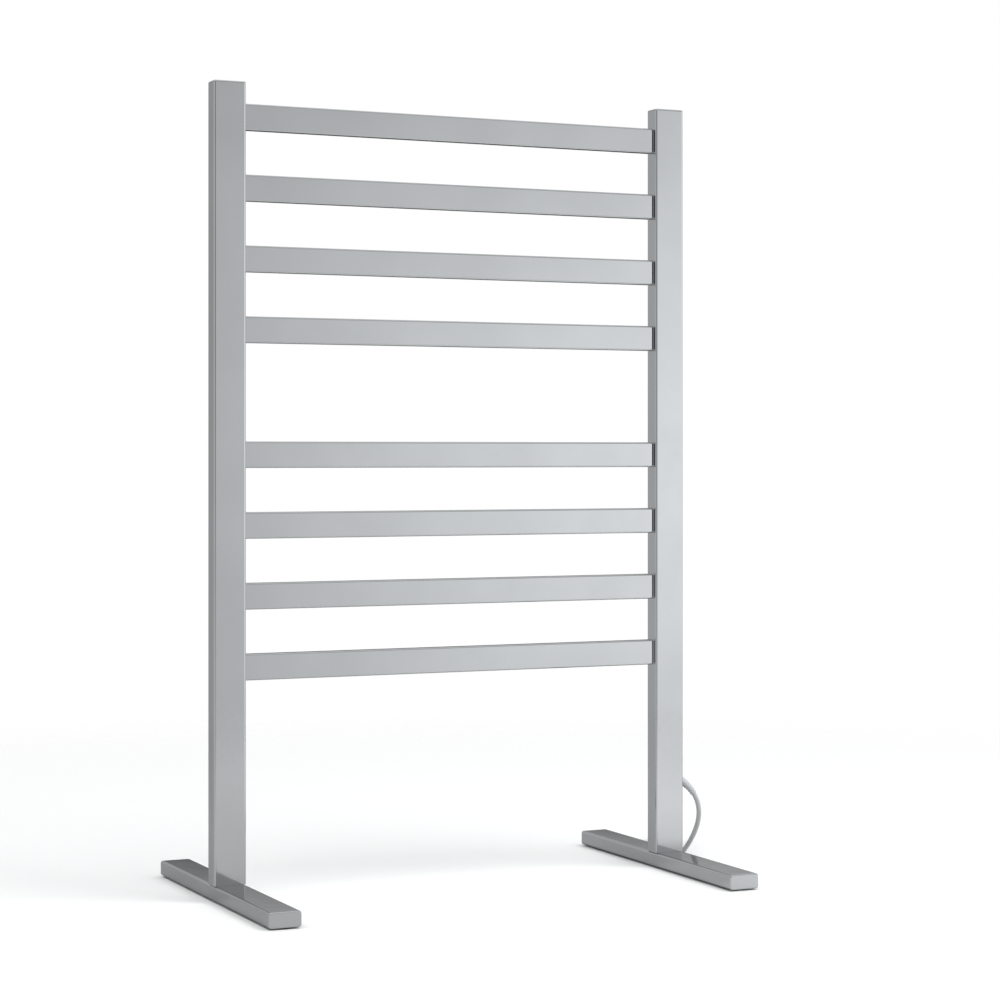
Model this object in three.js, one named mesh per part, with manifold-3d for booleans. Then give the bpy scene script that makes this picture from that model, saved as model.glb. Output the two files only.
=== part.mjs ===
// Freestanding electric towel warmer rack: two rectangular uprights joined by eight flat heated
// bars, each upright bolted to a low box-section foot. A mains cord leaves the right upright.
// Millimetres. +X to the right, +Y to the rear, +Z up. The origin is on the floor, in the middle.
import * as THREE from "three";
import { mergeVertices } from "three/addons/utils/BufferGeometryUtils.js";
import Module from "manifold-3d";

const wasm = await Module();
wasm.setup();

// ---- Driving dimensions -----------------------------------------------------------------------
const WIDTH = 600; // outer face to outer face of the uprights
const HEIGHT = 923; // floor to the top of the uprights
const FOOT_LENGTH = 380; // front to rear, with its end caps
const FOOT_WIDTH = 37;
const FOOT_HEIGHT = 17.5;
const FOOT_WALL = 2;
const FOOT_RADIUS = 3;
const FOOT_CAP_PLATE = 2;
const PAD_THICK = 1.5; // rubber pad under the foot
const PAD_LENGTH = 34;
const PAD_SIDE_MARGIN = 6; // from the pad's edge to the foot's side
const PAD_END_MARGIN = 12; // from the pad's edge to the foot's end

const UPRIGHT_WIDTH = 38;
const UPRIGHT_DEPTH = 22.5;
const UPRIGHT_WALL = 1.5;
const UPRIGHT_RADIUS = 2.5;
const TOP_CAP_PLATE = 2;
const SPIGOT_DEPTH = 10; // how far a cap's spigot goes into its tube

const BAR_HEIGHT = 30;
const BAR_THICK = 10.5;
const BAR_WALL = 1;
const BAR_RADIUS = 2;
const BAR_PITCH = 80; // between neighbouring bars of one group
const GROUP_STEP = 141.3; // from the last bar of the upper group to the first of the lower
const BARS_PER_GROUP = 4;
const TOP_MARGIN = 24; // from the top of the uprights to the first bar
const BAR_INSERT = 3; // how far a bar's end goes into the upright

const FIT = 0.25; // clearance of a piece seated in another
const TOUCH = 0.3; // gap between pieces that meet face to face

const HEATER_HEIGHT = 20;
const HEATER_END_GAP = 30; // from the heater's end to the end of its bar
const LEAD_HEIGHT = 6;
const LEAD_THICK = 2;
const LEAD_REACH = 5; // how far a heater's lead comes out of its bar
const HARNESS_WIDTH = 8;
const HARNESS_THICK = 3;
const HARNESS_BEND = 1;

const CUTOUT = { x: 8, y: 12, z: 26 }; // thermal cut-out
const TERMINAL = { x: 13, z: 24 }; // terminal block
const TERMINAL_ROOM = 1.75; // from its front and rear to the upright's wall

const BASE_PLUG_HEIGHT = 20;
const BOLT_RADIUS = 3;
const BOLT_HEAD_RADIUS = 5;
const BOLT_HEAD_HEIGHT = 6;
const BOLT_SOCKET_RADIUS = 2.9;
const BOLT_SOCKET_DEPTH = 3;
const BOLT_BITE = 14; // bolt length inside the base plug
const BOLT_SPACING = 18;
const BOLT_ACCESS_RADIUS = 6.5;
const BOLT_CLEARANCE = 0.3;

const SWITCH_HEIGHT = 153; // floor to the rocker's pivot
const SWITCH_BODY = { x: 13.4, z: 21.4 };
const SWITCH_ROOM = 8.5; // between its body and the front wall, for its tabs and wires
const SWITCH_BEZEL = { x: 16, z: 24, thick: 2, radius: 1.5 };
const SWITCH_POCKET_FLOOR = 6.5; // below the upright's outer face
const SWITCH_SIDE_WALL = 1.4;
const ROCKER_RADIUS = 8.8;
const ROCKER_GAP = 0.35;
const ROCKER_PIVOT_DEPTH = 1; // below the upright's outer face
const ROCKER_UNDERSIDE = 3; // below its pivot
const ROCKER_RIDGE = 3.2; // the middle of its face, above its pivot
const ROCKER_RISE = 1.2; // how much higher its two ends are than the middle
const ROCKER_TILT = 8; // degrees each way from level
const TRUNNION_RADIUS = 1.2;
const TRUNNION_LENGTH = 1;
const TRUNNION_GAP = 0.3;
const TAB = { x: 4.8, y: 5, z: 0.8, spacing: 10 };

const GLAND_HEIGHT = 105.3; // floor to the middle of the cord's exit
const GLAND_FLANGE_RADIUS = 7;
const GLAND_FLANGE_THICK = 1.3;
const GLAND_BODY_RADIUS = 5;
const GLAND_NUT_THICK = 3;

const CORD_RADIUS = 3;
const CORD_LIFT = 0.05; // between the floor and the lowest of the cord
const RELIEF_LENGTH = 32; // along the cord, with the part of it behind the flange
const RELIEF_BASE_RADIUS = 5.2;
const RELIEF_TIP_RADIUS = 3.7;

const HANK_TURN = 28.8; // degrees from +Y towards +X: the hank's long axis
const HANK_PLACE = { out: 47.75, rear: 120.05 }; // its middle, from the middle of the outer face
const HANK_FOLD_SPACING = 90; // between the middles of its two end folds
const HANK_FOLD_RADIUS = 18;
const HANK_WAIST = 3.2; // half the spacing of its two sides under the tie
const HANK_HEIGHT = 28;
const HANK_APPROACH = 14.5; // the cord's last stretch beside the first fold, held by the hank
const TIE_WIDTH = 10;
const TIE_THICK = 1.2;
const TIE_HEIGHT = 29.4;
const TIE_PLACE = -12; // along the hank's axis from its middle
const TIE_CORNER = 2;

const PLUG = { width: 26, height: 20, length: 38, radius: 6 };
const PLUG_START = 20; // along the hank's axis, the rear of the plug's body
const PLUG_NECK_LENGTH = 22;
const PLUG_NECK_RADIUS = { body: 7.5, cord: 4 };
const BLADE = { width: 1.5, height: 6.3, length: 17, spacing: 12.7, rise: 3 };
const EARTH_PIN = { radius: 2.4, length: 19, drop: 5.5 };

// The cord's free run, x measured from the right upright's outer face: from inside the wall out
// through the strain relief, down to the floor and along it to the hank.
const CORD_ROUTE = [
  [-4, 0, 107.6], [1.6, 0, 104.6], [7, 0.1, 101.3], [12.9, 0.3, 96.4], [18.6, 0.7, 90.3],
  [23.8, 1.4, 83.1], [28, 2.8, 75], [30.9, 5, 66.2], [32.6, 8.2, 57],
  [33.2, 12.6, 47.7], [33.1, 17.6, 39.2], [32.7, 23.3, 31.1], [32.4, 29.8, 23.5],
  [32.3, 37, 16.8], [32.9, 44.8, 11.1], [34.5, 53.3, 6.8], [37.3, 62.4, 4],
];
// The cord's last run in the hank's frame (across, along, up), from the top turn to the plug.
const TAIL_ROUTE = [
  [18, -45.2, 31.5], [17, -37.4, 31.9], [14, -30.2, 32.9], [9, -23.8, 34.5], [4, -17.4, 36.2],
  [1, -10.2, 37.7], [0, -2.4, 38.3],
];

// ---- Materials --------------------------------------------------------------------------------
const material = (color, roughness, metalness) =>
  new THREE.MeshStandardMaterial({ color, roughness, metalness });
const polishedSteel = () => material(0xb9bcbe, 0.16, 1);
const zincSteel = () => material(0x9a9c9e, 0.4, 1);
const brass = () => material(0xb59a52, 0.35, 1);
const rubber = () => material(0x2a2a2b, 0.85, 0);
const greyVinyl = () => material(0xc9cbcc, 0.5, 0);
const blackPlastic = () => material(0x1d1e20, 0.45, 0);
const whitePlastic = () => material(0xe4e4e0, 0.5, 0);
const heaterSheath = () => material(0xa9563c, 0.7, 0);
const earthVinyl = () => material(0x6f9a3e, 0.5, 0);

// ---- Solids and how they are cut --------------------------------------------------------------
function toSolid(geometry) {
  const bare = geometry.clone();
  bare.deleteAttribute("normal");
  bare.deleteAttribute("uv");
  const merged = mergeVertices(bare, 1e-4);
  return new wasm.Manifold(
    new wasm.Mesh({
      numProp: 3,
      vertProperties: merged.attributes.position.array,
      triVerts: new Uint32Array(merged.index.array),
    }),
  );
}

function toGeometry(solid) {
  const made = solid.getMesh();
  const geometry = new THREE.BufferGeometry();
  geometry.setAttribute("position", new THREE.BufferAttribute(made.vertProperties, 3));
  geometry.setIndex(new THREE.BufferAttribute(made.triVerts, 1));
  geometry.computeVertexNormals();
  return geometry;
}

const cut = (geometry, ...tools) =>
  toGeometry(tools.reduce((solid, tool) => solid.subtract(toSolid(tool)), toSolid(geometry)));
const join = (geometry, ...others) =>
  toGeometry(others.reduce((solid, other) => solid.add(toSolid(other)), toSolid(geometry)));

// ---- Outlines ---------------------------------------------------------------------------------
function roundedOutline(path, width, height, radius) {
  const w = width / 2;
  const h = height / 2;
  const r = Math.min(radius, w, h);
  path.moveTo(w, -h + r);
  path.lineTo(w, h - r);
  path.absarc(w - r, h - r, r, 0, Math.PI / 2, false);
  path.lineTo(-w + r, h);
  path.absarc(-w + r, h - r, r, Math.PI / 2, Math.PI, false);
  path.lineTo(-w, -h + r);
  path.absarc(-w + r, -h + r, r, Math.PI, 1.5 * Math.PI, false);
  path.lineTo(w - r, -h);
  path.absarc(w - r, -h + r, r, 1.5 * Math.PI, 2 * Math.PI, false);
  return path;
}

const rounded = (width, height, radius) =>
  roundedOutline(new THREE.Shape(), width, height, radius);

function tubeSection(width, height, radius, wall) {
  const shape = rounded(width, height, radius);
  const bore = [width - 2 * wall, height - 2 * wall, Math.max(radius - wall, 0.4)];
  shape.holes.push(roundedOutline(new THREE.Path(), ...bore));
  return shape;
}

function disc(radius) {
  const shape = new THREE.Shape();
  shape.absarc(0, 0, radius, 0, 2 * Math.PI, false);
  return shape;
}

// ---- Prisms along each axis, centred on the other two -----------------------------------------
// An arc or a circle of an outline becomes twice as many straight pieces as `curveSegments` says.
const CORNER = 2; // for the quarter rounds of a corner
const ROUND = 8; // for a full circle
const prism = (shape, length, curveSegments = CORNER) =>
  new THREE.ExtrudeGeometry(shape, { depth: length, bevelEnabled: false, curveSegments });
const [X, Y, Z] = [
  new THREE.Vector3(1, 0, 0),
  new THREE.Vector3(0, 1, 0),
  new THREE.Vector3(0, 0, 1),
];
const turned = (geometry, across, up, along) =>
  geometry.applyMatrix4(new THREE.Matrix4().makeBasis(across, up, along));
// An outline given as (y, z), drawn out along +X.
const alongX = (shape, length, segments) => turned(prism(shape, length, segments), Y, Z, X);
// An outline given as (z, x), drawn out along +Y.
const alongY = (shape, length, segments) => turned(prism(shape, length, segments), Z, X, Y);
const moved = (geometry, x, y, z) => geometry.translate(x, y, z);
const block = (x, y, z) => new THREE.BoxGeometry(x, y, z);
const rod = (radius, length) => prism(disc(radius), length, ROUND);

// ---- Assembly ---------------------------------------------------------------------------------
const rack = new THREE.Group();
rack.name = "towel_warmer_rack";

function add(name, geometry, finish, parent = rack) {
  const mesh = new THREE.Mesh(geometry, finish);
  mesh.name = name;
  parent.add(mesh);
  return mesh;
}

const SIDES = [
  { name: "left", sign: -1 },
  { name: "right", sign: 1 },
];
const ENDS = [
  { name: "front", sign: -1 },
  { name: "rear", sign: 1 },
];
const footTop = PAD_THICK + FOOT_HEIGHT;
const footMiddle = PAD_THICK + FOOT_HEIGHT / 2;
const tubeTop = HEIGHT - TOP_CAP_PLATE;
const uprightX = (WIDTH - UPRIGHT_WIDTH) / 2;
const innerFace = uprightX - UPRIGHT_WIDTH / 2;
const barEnd = innerFace + BAR_INSERT;
const boreWidth = UPRIGHT_WIDTH - 2 * UPRIGHT_WALL;
const boreDepth = UPRIGHT_DEPTH - 2 * UPRIGHT_WALL;
const barMiddles = Array.from({ length: 2 * BARS_PER_GROUP }, (_, index) => {
  const lower = index >= BARS_PER_GROUP;
  const steps = lower ? index - 1 : index;
  const drop = steps * BAR_PITCH + (lower ? GROUP_STEP : 0);
  return HEIGHT - TOP_MARGIN - drop - BAR_HEIGHT / 2;
});

// ---- Feet -------------------------------------------------------------------------------------
const boltPlaces = [-BOLT_SPACING / 2, BOLT_SPACING / 2];

function foot() {
  const length = FOOT_LENGTH - 2 * FOOT_CAP_PLATE;
  const section = tubeSection(FOOT_HEIGHT, FOOT_WIDTH, FOOT_RADIUS, FOOT_WALL);
  const tube = moved(alongY(section, length), 0, -length / 2, footMiddle);
  const holes = boltPlaces.flatMap((x) => [
    moved(rod(BOLT_RADIUS + BOLT_CLEARANCE, 3 * FOOT_WALL), x, 0, footTop - 2 * FOOT_WALL),
    moved(rod(BOLT_ACCESS_RADIUS, 3 * FOOT_WALL), x, 0, PAD_THICK - FOOT_WALL),
  ]);
  return cut(tube, ...holes);
}

// A plate of the tube's own outline on a spigot that fits its bore; it faces +Y.
function footCap() {
  const plate = alongY(rounded(FOOT_HEIGHT, FOOT_WIDTH, FOOT_RADIUS), FOOT_CAP_PLATE);
  const inside = 2 * (FOOT_WALL + FIT);
  const outline = rounded(FOOT_HEIGHT - inside, FOOT_WIDTH - inside, FOOT_RADIUS - FOOT_WALL);
  const spigot = moved(alongY(outline, SPIGOT_DEPTH + 1), 0, -SPIGOT_DEPTH, 0);
  return join(plate, spigot);
}

function footPad() {
  const width = FOOT_WIDTH - 2 * PAD_SIDE_MARGIN;
  return prism(rounded(width, PAD_LENGTH, 3), PAD_THICK);
}

// A socket-head screw, head down, its shank reaching up into the base plug.
function footBolt() {
  const shank = rod(BOLT_RADIUS, FOOT_WALL + BOLT_BITE + 1);
  const head = moved(rod(BOLT_HEAD_RADIUS, BOLT_HEAD_HEIGHT), 0, 0, 1 - BOLT_HEAD_HEIGHT);
  const socket = prism(hexagon(BOLT_SOCKET_RADIUS), 2 * BOLT_SOCKET_DEPTH);
  return cut(join(shank, head), moved(socket, 0, 0, 1 - BOLT_HEAD_HEIGHT - BOLT_SOCKET_DEPTH));
}

function hexagon(radius) {
  const corner = (k) => [radius * Math.cos((k * Math.PI) / 3), radius * Math.sin((k * Math.PI) / 3)];
  const shape = new THREE.Shape();
  shape.moveTo(...corner(0));
  for (let k = 1; k < 6; k++) shape.lineTo(...corner(k));
  return shape;
}

for (const side of SIDES) {
  const stand = new THREE.Group();
  stand.position.x = side.sign * uprightX;
  rack.add(stand);
  add(`${side.name}_foot`, foot(), polishedSteel(), stand);
  for (const end of ENDS) {
    const name = `${side.name}_foot_${end.name}`;
    const cap = add(`${name}_cap`, footCap(), polishedSteel(), stand);
    cap.position.set(0, end.sign * (FOOT_LENGTH / 2 - FOOT_CAP_PLATE), footMiddle);
    cap.rotation.z = end.sign < 0 ? Math.PI : 0;
    const pad = add(`${name}_pad`, footPad(), rubber(), stand);
    pad.position.y = end.sign * (FOOT_LENGTH / 2 - PAD_END_MARGIN - PAD_LENGTH / 2);
  }
  boltPlaces.forEach((x, index) => {
    const bolt = add(`${side.name}_foot_bolt_${index + 1}`, footBolt(), zincSteel(), stand);
    bolt.position.set(x, 0, footTop - FOOT_WALL - 1 - TOUCH);
  });
}

// ---- Uprights ---------------------------------------------------------------------------------
function upright(sign, ...openings) {
  const section = tubeSection(UPRIGHT_WIDTH, UPRIGHT_DEPTH, UPRIGHT_RADIUS, UPRIGHT_WALL);
  const tube = moved(prism(section, tubeTop - footTop), 0, 0, footTop);
  const slotOutline = rounded(BAR_THICK + 2 * FIT, BAR_HEIGHT + 2 * FIT, BAR_RADIUS + FIT);
  const slots = barMiddles.map((z) => {
    const slot = alongX(slotOutline, 3 * UPRIGHT_WALL);
    return moved(slot, -sign * (UPRIGHT_WIDTH / 2) - 1.5 * UPRIGHT_WALL, 0, z);
  });
  return cut(tube, ...slots, ...openings);
}

function topCap() {
  const plate = prism(rounded(UPRIGHT_WIDTH, UPRIGHT_DEPTH, UPRIGHT_RADIUS), TOP_CAP_PLATE);
  const outline = rounded(boreWidth - 2 * FIT, boreDepth - 2 * FIT, UPRIGHT_RADIUS - UPRIGHT_WALL);
  return join(plate, moved(prism(outline, SPIGOT_DEPTH + 1), 0, 0, -SPIGOT_DEPTH));
}

// The tapped block in the bottom of an upright that the foot is bolted to.
function basePlug() {
  const outline = rounded(boreWidth - 2 * FIT, boreDepth - 2 * FIT, UPRIGHT_RADIUS - UPRIGHT_WALL);
  const holes = boltPlaces.map((x) =>
    moved(rod(BOLT_RADIUS + BOLT_CLEARANCE, BOLT_BITE + 3), x, 0, -1),
  );
  return cut(prism(outline, BASE_PLUG_HEIGHT), ...holes);
}

const rearFace = UPRIGHT_DEPTH / 2;
const glandHole = moved(
  alongX(disc(GLAND_BODY_RADIUS + FIT), 3 * UPRIGHT_WALL, ROUND),
  UPRIGHT_WIDTH / 2 - 2 * UPRIGHT_WALL,
  0,
  GLAND_HEIGHT,
);
const switchHole = moved(
  block(SWITCH_BODY.x + 2 * FIT, 4 * UPRIGHT_WALL, SWITCH_BODY.z + 2 * FIT),
  0,
  rearFace,
  SWITCH_HEIGHT,
);

for (const side of SIDES) {
  const stand = new THREE.Group();
  stand.position.x = side.sign * uprightX;
  rack.add(stand);
  const openings = side.name === "right" ? [glandHole, switchHole] : [];
  add(`${side.name}_upright`, upright(side.sign, ...openings), polishedSteel(), stand);
  add(`${side.name}_top_cap`, topCap(), polishedSteel(), stand).position.z = tubeTop;
  add(`${side.name}_base_plug`, basePlug(), zincSteel(), stand).position.z = footTop;
}

// ---- Bars and their heaters -------------------------------------------------------------------
function bar() {
  const section = tubeSection(BAR_THICK, BAR_HEIGHT, BAR_RADIUS, BAR_WALL);
  return moved(alongX(section, 2 * barEnd), -barEnd, 0, 0);
}

// A flat sheathed element that lies between the bar's front and back walls, with a flat lead that
// comes out of the bar's right end.
function heater() {
  const reach = barEnd - HEATER_END_GAP;
  const thick = BAR_THICK - 2 * BAR_WALL - 2 * FIT;
  const element = alongX(rounded(thick, HEATER_HEIGHT, thick / 3), 2 * reach);
  const leadLength = HEATER_END_GAP + LEAD_REACH + 1;
  const lead = alongX(rounded(LEAD_THICK, LEAD_HEIGHT, LEAD_THICK / 3), leadLength);
  return join(moved(element, -reach, 0, 0), moved(lead, reach - 1, 0, 0));
}

barMiddles.forEach((z, index) => {
  add(`bar_${index + 1}`, bar(), polishedSteel()).position.z = z;
  add(`heater_${index + 1}`, heater(), heaterSheath()).position.z = z;
});

// ---- Wiring inside the right upright ----------------------------------------------------------
const harnessX = barEnd + LEAD_REACH + TOUCH + HARNESS_THICK / 2;
const lowestLead = barMiddles[barMiddles.length - 1];
const harnessTop = barMiddles[0] + LEAD_HEIGHT;
const harnessBottom = lowestLead - BAR_HEIGHT;
const cutoutMiddle = harnessBottom - TOUCH - CUTOUT.z / 2;
const switchDepth = UPRIGHT_DEPTH - UPRIGHT_WALL - SWITCH_ROOM; // of its body, from the rear face
const switchInner = rearFace - switchDepth;
const cordEntryX = uprightX + UPRIGHT_WIDTH / 2 - UPRIGHT_WALL - GLAND_NUT_THICK;
const terminalX = cordEntryX - TOUCH - TERMINAL.x / 2;

const harnessOutline = rounded(HARNESS_THICK, HARNESS_WIDTH, HARNESS_BEND);
const harness = prism(harnessOutline, harnessTop - harnessBottom);
add("heater_harness", moved(harness, harnessX, 0, harnessBottom), whitePlastic());

const cutoutCase = prism(rounded(CUTOUT.x, CUTOUT.y, 1.5), CUTOUT.z);
moved(cutoutCase, harnessX, 0, cutoutMiddle - CUTOUT.z / 2);
add("thermal_cutout", cutoutCase, blackPlastic());

const terminalDepth = boreDepth - 2 * TERMINAL_ROOM;
const terminalCase = prism(rounded(TERMINAL.x, terminalDepth, 1.5), TERMINAL.z);
moved(terminalCase, terminalX, 0, GLAND_HEIGHT - TERMINAL.z / 2);
add("terminal_block", terminalCase, whitePlastic());

const vectors = (points) => points.map((p) => new THREE.Vector3(...p));

// A plain tube of eight or ten sides along a smooth line through the points.
function tubeAlong(points, radius, steps, curveSegments) {
  const extrudePath = new THREE.CatmullRomCurve3(points);
  const extrude = { extrudePath, steps, curveSegments, bevelEnabled: false };
  return new THREE.ExtrudeGeometry(disc(radius), extrude);
}

const WIRE_RADIUS = 1.1;
const WIRE_END_GAP = 2 * TOUCH;
const WIRE_STEPS = 10;
const wire = (points) => tubeAlong(vectors(points), WIRE_RADIUS, WIRE_STEPS, 4);
const terminalTop = GLAND_HEIGHT + TERMINAL.z / 2;
const tabEnd = switchInner - TAB.y;
const wireY = tabEnd - TOUCH - WIRE_RADIUS;
const upperTab = SWITCH_HEIGHT + TAB.spacing / 2;
const lowerTab = SWITCH_HEIGHT - TAB.spacing / 2;
const cutoutBottom = cutoutMiddle - CUTOUT.z / 2;
add(
  "switch_supply_wire",
  wire([[uprightX, wireY + 1, terminalTop + WIRE_END_GAP], [uprightX, wireY, lowerTab - 6],
    [uprightX, wireY, lowerTab + 2]]),
  blackPlastic(),
);
add(
  "switch_load_wire",
  wire([[uprightX, wireY, upperTab - 2], [uprightX - 2, wireY, upperTab + 12],
    [harnessX, wireY + 7, cutoutBottom - 10], [harnessX, 0, cutoutBottom - WIRE_END_GAP]]),
  blackPlastic(),
);

// ---- Earth connection on top of the right base plug -------------------------------------------
const EARTH_TAG = { x: 10, y: 9, z: 1, hole: 2.3 };
const EARTH_SCREW = { radius: 2, head: 3.8, headHeight: 2.6, bite: 5 };
const plugTop = footTop + BASE_PLUG_HEIGHT;
const earthTag = cut(
  prism(rounded(EARTH_TAG.x, EARTH_TAG.y, 2), EARTH_TAG.z),
  moved(rod(EARTH_TAG.hole, 3), 0, 0, -1),
);
add("earth_tag", earthTag, brass()).position.set(uprightX, 0, plugTop + TOUCH);
const rightPlug = rack.getObjectByName("right_base_plug");
const earthHole = rod(EARTH_SCREW.radius + FIT, 2 * EARTH_SCREW.bite);
moved(earthHole, 0, 0, BASE_PLUG_HEIGHT - EARTH_SCREW.bite - 1);
rightPlug.geometry = cut(rightPlug.geometry, earthHole);
const screwUnderHead = plugTop + EARTH_TAG.z + 2 * TOUCH;
const earthShank = EARTH_SCREW.bite + EARTH_TAG.z + TOUCH;
const earthScrew = join(
  moved(rod(EARTH_SCREW.head, EARTH_SCREW.headHeight), 0, 0, 0),
  moved(rod(EARTH_SCREW.radius, earthShank + 1), 0, 0, -earthShank),
);
add("earth_screw", earthScrew, zincSteel()).position.set(uprightX, 0, screwUnderHead);
const tagWireX = uprightX - EARTH_TAG.x / 2 - TOUCH - WIRE_RADIUS;
const terminalBottom = GLAND_HEIGHT - TERMINAL.z / 2;
add(
  "earth_wire",
  wire([[tagWireX, 0, plugTop + TOUCH], [tagWireX, 0, plugTop + 12],
    [terminalX - 2, 0, terminalBottom - 12], [terminalX - 2, 0, terminalBottom - WIRE_END_GAP]]),
  earthVinyl(),
);

// ---- Rocker switch on the rear of the right upright -------------------------------------------
// Its own frame: origin at the rocker's pivot, +Y out of the upright, +X and +Z as the rack's.
const switchFrame = new THREE.Group();
switchFrame.position.set(uprightX, rearFace - ROCKER_PIVOT_DEPTH, SWITCH_HEIGHT);
rack.add(switchFrame);
const pocketWidth = SWITCH_BODY.x - 2 * SWITCH_SIDE_WALL;

function switchHousing() {
  const face = ROCKER_PIVOT_DEPTH;
  const bezelOutline = rounded(SWITCH_BEZEL.z, SWITCH_BEZEL.x, SWITCH_BEZEL.radius);
  const bezel = moved(alongY(bezelOutline, SWITCH_BEZEL.thick), 0, face + TOUCH, 0);
  const depth = switchDepth + TOUCH;
  const body = block(SWITCH_BODY.x, depth + 1, SWITCH_BODY.z);
  moved(body, 0, face + TOUCH + 1 - (depth + 1) / 2, 0);
  const floor = face - SWITCH_POCKET_FLOOR;
  const pocketDepth = SWITCH_POCKET_FLOOR + TOUCH + SWITCH_BEZEL.thick + 1;
  const pocket = block(pocketWidth, pocketDepth, 2 * (ROCKER_RADIUS + ROCKER_GAP));
  moved(pocket, 0, floor + pocketDepth / 2, 0);
  const bearing = alongX(disc(TRUNNION_RADIUS + TRUNNION_GAP), 2 * SWITCH_BODY.x, ROUND);
  return cut(join(bezel, body), pocket, moved(bearing, -SWITCH_BODY.x, 0, 0));
}

// The rocker's side outline is a disc round its pivot, cut flat below and to a shallow V above.
function rocker() {
  const width = pocketWidth - 2 * ROCKER_GAP;
  const round = moved(alongX(disc(ROCKER_RADIUS), width, ROUND), -width / 2, 0, 0);
  const far = 3 * ROCKER_RADIUS;
  const shape = new THREE.Shape();
  const rise = (ROCKER_RISE * far) / ROCKER_RADIUS;
  shape.moveTo(-ROCKER_UNDERSIDE, -far);
  shape.lineTo(ROCKER_RIDGE + rise, -far);
  shape.lineTo(ROCKER_RIDGE, 0);
  shape.lineTo(ROCKER_RIDGE + rise, far);
  shape.lineTo(-ROCKER_UNDERSIDE, far);
  const profile = moved(alongX(shape, 2 * width), -width, 0, 0);
  const key = toGeometry(toSolid(round).intersect(toSolid(profile)));
  const pinLength = width + 2 * (ROCKER_GAP + TRUNNION_LENGTH);
  const pin = moved(alongX(disc(TRUNNION_RADIUS), pinLength, ROUND), -pinLength / 2, 0, 0);
  return join(key, pin);
}

add("switch_housing", switchHousing(), blackPlastic(), switchFrame);
const key = add("switch_rocker", rocker(), blackPlastic(), switchFrame);
key.rotation.x = THREE.MathUtils.degToRad(-ROCKER_TILT);
for (const [name, place] of [["supply", -1], ["load", 1]]) {
  const tab = add(`switch_${name}_tab`, block(TAB.x, TAB.y, TAB.z), brass(), switchFrame);
  const housingBack = ROCKER_PIVOT_DEPTH - switchDepth;
  tab.position.set(0, housingBack - TOUCH - TAB.y / 2, (place * TAB.spacing) / 2);
}

// ---- Cord gland, strain relief and the cord's free run ----------------------------------------
const outerFace = WIDTH / 2;

function gland() {
  const flange = alongX(disc(GLAND_FLANGE_RADIUS), GLAND_FLANGE_THICK, ROUND);
  const bodyLength = UPRIGHT_WALL + TOUCH + GLAND_NUT_THICK;
  const body = alongX(disc(GLAND_BODY_RADIUS), bodyLength + 1, ROUND);
  return join(moved(flange, TOUCH, 0, 0), moved(body, TOUCH - bodyLength, 0, 0));
}
add("cord_gland", gland(), greyVinyl()).position.set(outerFace, 0, GLAND_HEIGHT);

const hankFrame = new THREE.Group();
hankFrame.position.set(outerFace + HANK_PLACE.out, HANK_PLACE.rear, 0);
hankFrame.rotation.z = -THREE.MathUtils.degToRad(HANK_TURN);
rack.add(hankFrame);
hankFrame.updateMatrixWorld(true);

const hankEntry = hankFrame.localToWorld(
  new THREE.Vector3(HANK_FOLD_RADIUS, -HANK_FOLD_SPACING / 2, CORD_RADIUS + CORD_LIFT),
);
const cordStops = vectors(CORD_ROUTE).map((stop) => stop.add(new THREE.Vector3(outerFace, 0, 0)));
const cordLine = new THREE.CatmullRomCurve3([...cordStops, hankEntry], false, "centripetal");
const reliefShare = RELIEF_LENGTH / cordLine.getLength();

// A round rod along part of a curve, its radius given by a function of the share of its length.
function taperedRod(curve, from, to, radiusAt, sides = 12, rings = 6) {
  const rows = Array.from({ length: rings }, (_, i) => {
    const share = i / (rings - 1);
    const u = from + (to - from) * share;
    const middle = curve.getPointAt(u);
    const tangent = curve.getTangentAt(u);
    const level = new THREE.Vector3().crossVectors(tangent, Z).normalize();
    const upward = new THREE.Vector3().crossVectors(level, tangent);
    return Array.from({ length: sides }, (__, k) => {
      const angle = (2 * Math.PI * k) / sides;
      return middle.clone()
        .addScaledVector(level, radiusAt(share) * Math.cos(angle))
        .addScaledVector(upward, radiusAt(share) * Math.sin(angle));
    });
  });
  const points = [...rows.flat(), curve.getPointAt(from), curve.getPointAt(to)];
  const start = rings * sides;
  const index = [];
  for (let k = 0; k < sides; k++) {
    const next = (k + 1) % sides;
    for (let i = 0; i < rings - 1; i++) {
      const [a, b] = [i * sides + k, i * sides + next];
      index.push(a, a + sides, b, b, a + sides, b + sides);
    }
    index.push(start, k, next);
    index.push(start + 1, (rings - 1) * sides + next, (rings - 1) * sides + k);
  }
  const geometry = new THREE.BufferGeometry().setFromPoints(points);
  geometry.setIndex(index);
  return geometry;
}

const reliefTaper = (share) =>
  RELIEF_BASE_RADIUS + (RELIEF_TIP_RADIUS - RELIEF_BASE_RADIUS) * share;
const behindFlange = 4 * RELIEF_BASE_RADIUS;
const reliefTrim = moved(
  block(behindFlange, behindFlange, behindFlange),
  outerFace + GLAND_FLANGE_THICK + 2 * TOUCH - behindFlange / 2,
  0,
  GLAND_HEIGHT,
);
const relief = cut(taperedRod(cordLine, 0, reliefShare, reliefTaper), reliefTrim);
add("cord_strain_relief", relief, greyVinyl());

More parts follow.
